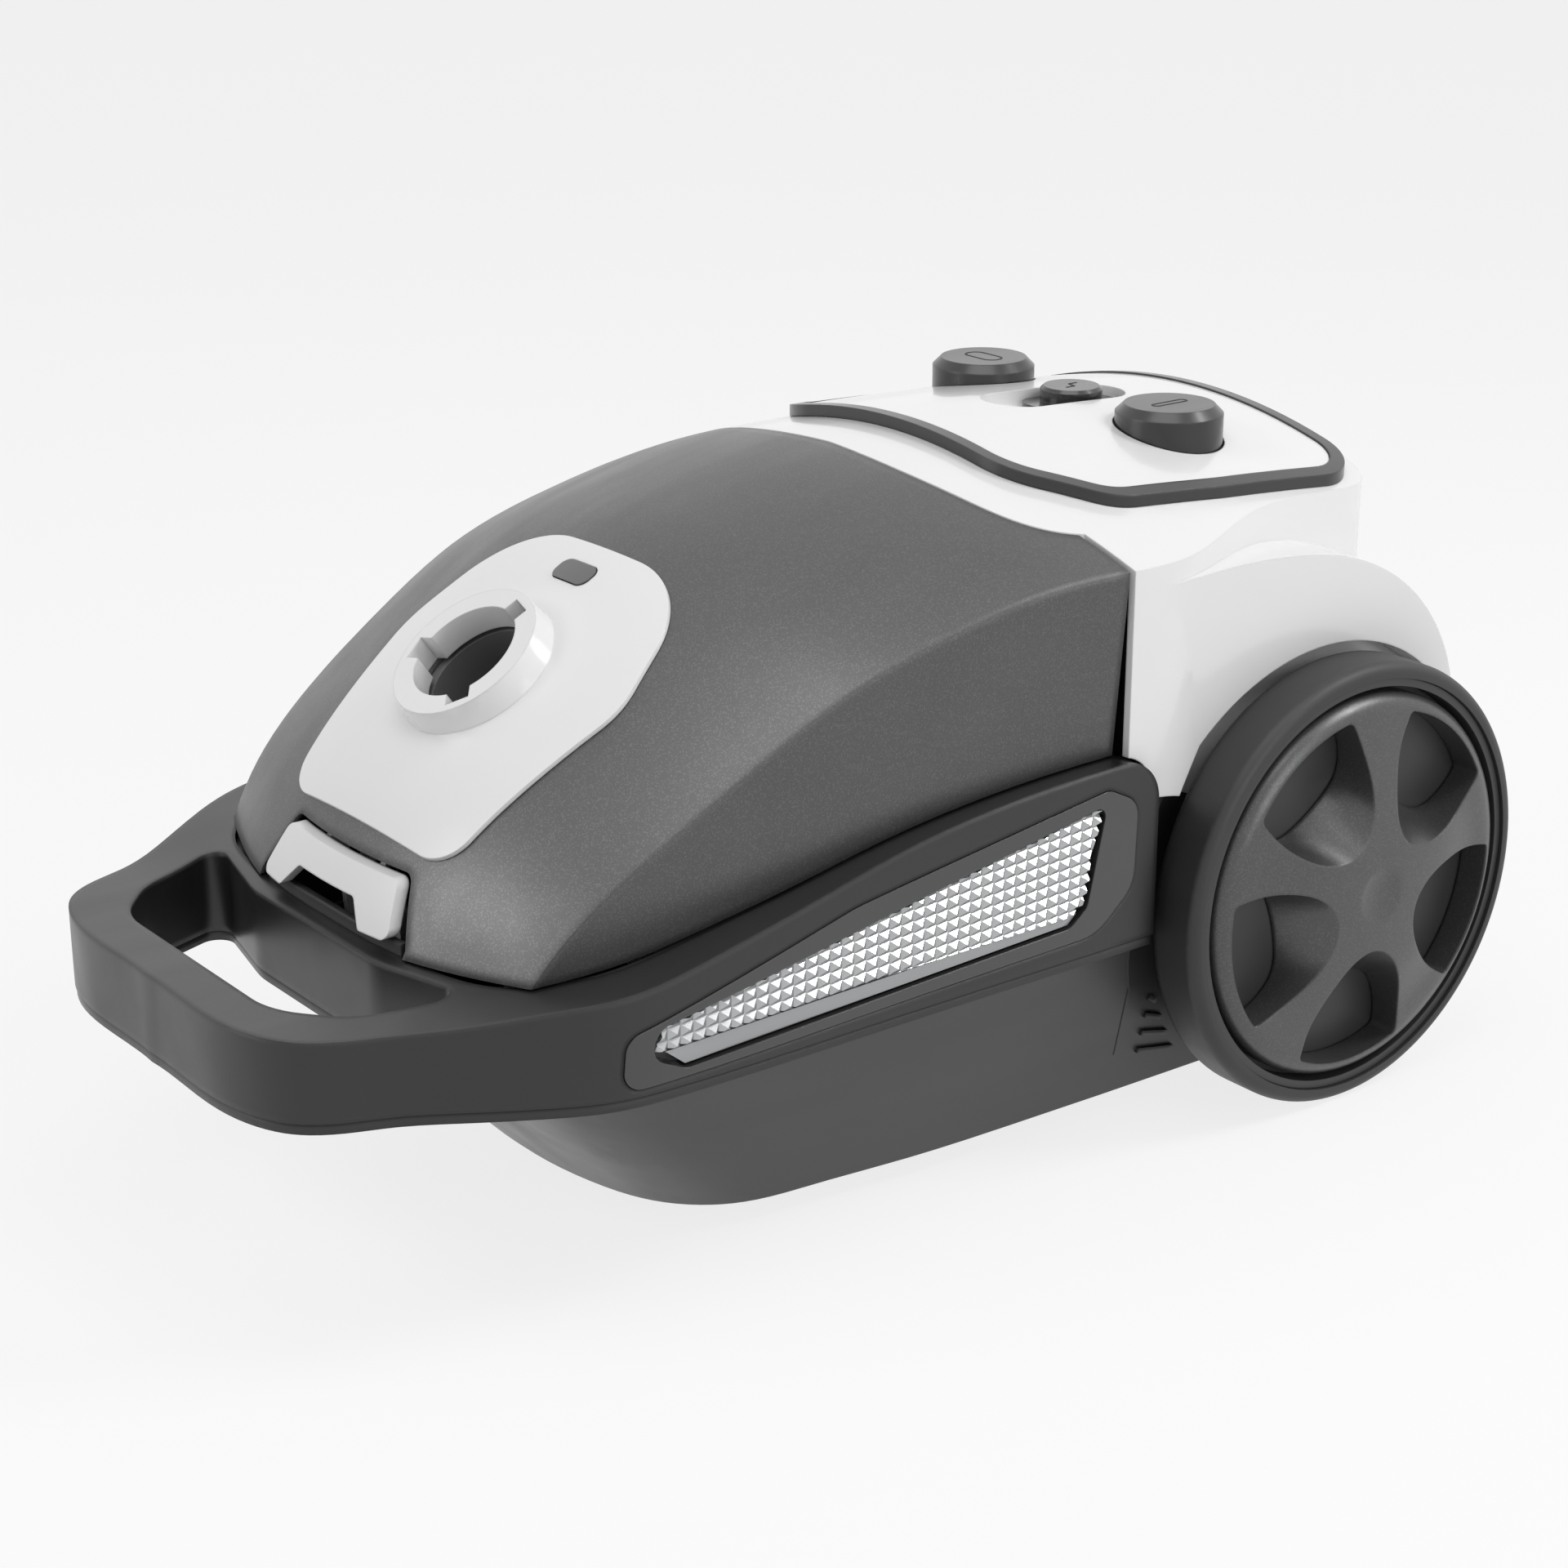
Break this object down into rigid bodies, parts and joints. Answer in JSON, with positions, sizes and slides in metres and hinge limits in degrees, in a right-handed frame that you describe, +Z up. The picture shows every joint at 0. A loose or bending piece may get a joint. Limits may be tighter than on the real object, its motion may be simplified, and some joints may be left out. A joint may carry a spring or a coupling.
{
  "type": "canister vacuum cleaner",
  "caption": "Bagged canister vacuum cleaner with hinged lid, inlet port, front handle, foot pedals, suction slider, large rear wheels, swivel caster, motor and cord reel.",
  "frame": {"origin": "on the floor under the middle of the part", "axes": "+Z up, -Y towards the nose and handle, +Y towards the rear wheels, +X to the left-hand side of a person who faces forwards"},
  "size_m": [0.3018, 0.5042, 0.2535],
  "materials": {
    "lid_metallic": "grey gloss plastic with a fine metallic fleck",
    "white_gloss": "white high-gloss plastic",
    "grey_plastic": "mid grey fine-textured plastic",
    "seal_rubber": "soft black rubber",
    "clear_window": "clear plastic window",
    "flag_red": "red plastic",
    "steel": "plain steel",
    "bumper_black": "dark satin plastic",
    "clear_lens": "clear faceted plastic",
    "bezel_black": "black gloss plastic around the lens",
    "body_grey": "dark grey satin plastic",
    "band_dark": "dark grey gloss plastic",
    "slider_black": "black gloss plastic",
    "black_plastic": "black plastic",
    "board_green": "circuit board",
    "foam": "open-cell filter foam",
    "motor_steel": "zinc-plated sheet steel",
    "rotor_metal": "aluminium fan on a steel shaft",
    "stator_iron": "laminated iron with windings",
    "caster_rubber": "hard rubber",
    "card": "stiff pressed card",
    "bag_fabric": "non-woven filter cloth",
    "hubcap_grey": "metallic grey painted plastic",
    "rim_grey": "dark grey plastic",
    "tyre_black": "soft black tread"
  },
  "bodies": {
    "chassis": {"bag_collar": "card", "bag_holder": "grey_plastic", "bumper_ring": "bumper_black", "caster_socket": "body_grey", "control_band": "band_dark", "control_board": "board_green", "control_panel": "white_gloss", "control_switches": "black_plastic", "cord_outlet": "black_plastic", "dust_bag": "bag_fabric", "exhaust_filter": "foam", "exhaust_grille": "black_plastic", "filter_frame": "grey_plastic", "handle_base": "bumper_black", "handle_screws": "steel", "hinge_pins": "steel", "lid_gasket": "seal_rubber", "light_bezels": "bezel_black", "light_lenses": "clear_lens", "lower_body": "body_grey", "motor_bulkhead": "black_plastic", "motor_casing": "motor_steel", "motor_cradle": "black_plastic", "motor_filter": "foam", "motor_plates": "motor_steel", "motor_seal": "seal_rubber", "motor_stator": "stator_iron", "power_spring": "steel", "rear_housing": "white_gloss", "reel_frame": "black_plastic", "reel_pins": "steel", "rewind_spring": "steel", "rewind_spring_case": "motor_steel", "switch_frame": "black_plastic", "wheel_axles": "steel"},
    "lid_body": {"lid": "lid_metallic", "inlet_panel": "white_gloss", "inlet_socket": "grey_plastic", "inlet_seal": "seal_rubber", "bag_full_window": "clear_window", "latch_pin": "steel", "latch_spring": "steel"},
    "flag_body": {"bag_full_flag": "flag_red"},
    "latch_body": {"latch": "white_gloss"},
    "power_button": {"power_pedal": "band_dark"},
    "rewind_button": {"rewind_pedal": "band_dark"},
    "plunger_body": {"switch_plunger": "grey_plastic"},
    "slider_body": {"suction_slider": "slider_black"},
    "left_wheel": {"hubcap_left": "hubcap_grey", "wheel_rim_left": "rim_grey", "tyre_left": "tyre_black"},
    "right_wheel": {"hubcap_right": "hubcap_grey", "wheel_rim_right": "rim_grey", "tyre_right": "tyre_black"},
    "caster_swivel": {"caster_fork": "grey_plastic", "caster_axle": "steel"},
    "caster_roller": {"caster_wheel": "caster_rubber"},
    "rotor_body": {"fan_rotor": "rotor_metal"},
    "reel_body": {"cord_reel": "grey_plastic"},
    "brake_body": {"reel_brake": "black_plastic"}
  },
  "joints": [
    {"name": "lid_hinge", "type": "hinge", "parent": "chassis", "child": "lid_body", "pos_m": [0, 0.066, 0.22], "axis": [-1, 0, 0], "range_deg": [0, 60]},
    {"name": "flag_slide", "type": "slide", "parent": "lid_body", "child": "flag_body", "axis": [0, -0.809, -0.5878], "range_m": [0, 0.0105]},
    {"name": "latch_pivot", "type": "hinge", "parent": "lid_body", "child": "latch_body", "pos_m": [0, -0.1685, 0.136], "axis": [-1, 0, 0], "range_deg": [0, 8], "stiffness_Nm_per_rad": 0.4, "springref_deg": -11.46},
    {"name": "power_press", "type": "slide", "parent": "chassis", "child": "power_button", "axis": [0, 0, -1], "range_m": [0, 0.0045], "stiffness_N_per_m": 900, "springref_m": -0.004, "deforming": ["power_spring"]},
    {"name": "switch_press", "type": "slide", "parent": "chassis", "child": "plunger_body", "axis": [0, 0, -1], "range_m": [0, 0.0045]},
    {"name": "rewind_press", "type": "slide", "parent": "chassis", "child": "rewind_button", "axis": [0, 0, -1], "range_m": [0, 0.0045], "stiffness_N_per_m": 900, "springref_m": -0.004, "deforming": ["rewind_spring"]},
    {"name": "suction_slide", "type": "slide", "parent": "chassis", "child": "slider_body", "axis": [0, -0.999, 0.045], "range_m": [0, 0.018]},
    {"name": "left_wheel_spin", "type": "hinge", "parent": "chassis", "child": "left_wheel", "pos_m": [0.13, 0.167, 0.085], "axis": [1, 0, 0], "continuous": true},
    {"name": "right_wheel_spin", "type": "hinge", "parent": "chassis", "child": "right_wheel", "pos_m": [-0.13, 0.167, 0.085], "axis": [1, 0, 0], "continuous": true},
    {"name": "caster_turn", "type": "hinge", "parent": "chassis", "child": "caster_swivel", "pos_m": [0, -0.066, 0.045], "axis": [0, 0, 1], "continuous": true},
    {"name": "caster_roll", "type": "hinge", "parent": "caster_swivel", "child": "caster_roller", "pos_m": [0, -0.055, 0.019], "axis": [1, 0, 0], "continuous": true},
    {"name": "fan_spin", "type": "hinge", "parent": "chassis", "child": "rotor_body", "pos_m": [0.03, 0.15, 0.096], "axis": [0, 1, 0], "continuous": true},
    {"name": "reel_spin", "type": "hinge", "parent": "chassis", "child": "reel_body", "pos_m": [-0.056, 0.158, 0.092], "axis": [1, 0, 0], "continuous": true},
    {"name": "brake_lift", "type": "hinge", "parent": "chassis", "child": "brake_body", "pos_m": [-0.052, 0.128, 0.192], "axis": [-1, 0, 0], "range_deg": [0, 14.4]}
  ],
  "couplings": [
    {"joint": "brake_lift", "follows": "rewind_press", "rad_per_m": 55.5},
    {"joint": "switch_press", "follows": "power_press", "ratio": 1}
  ]
}
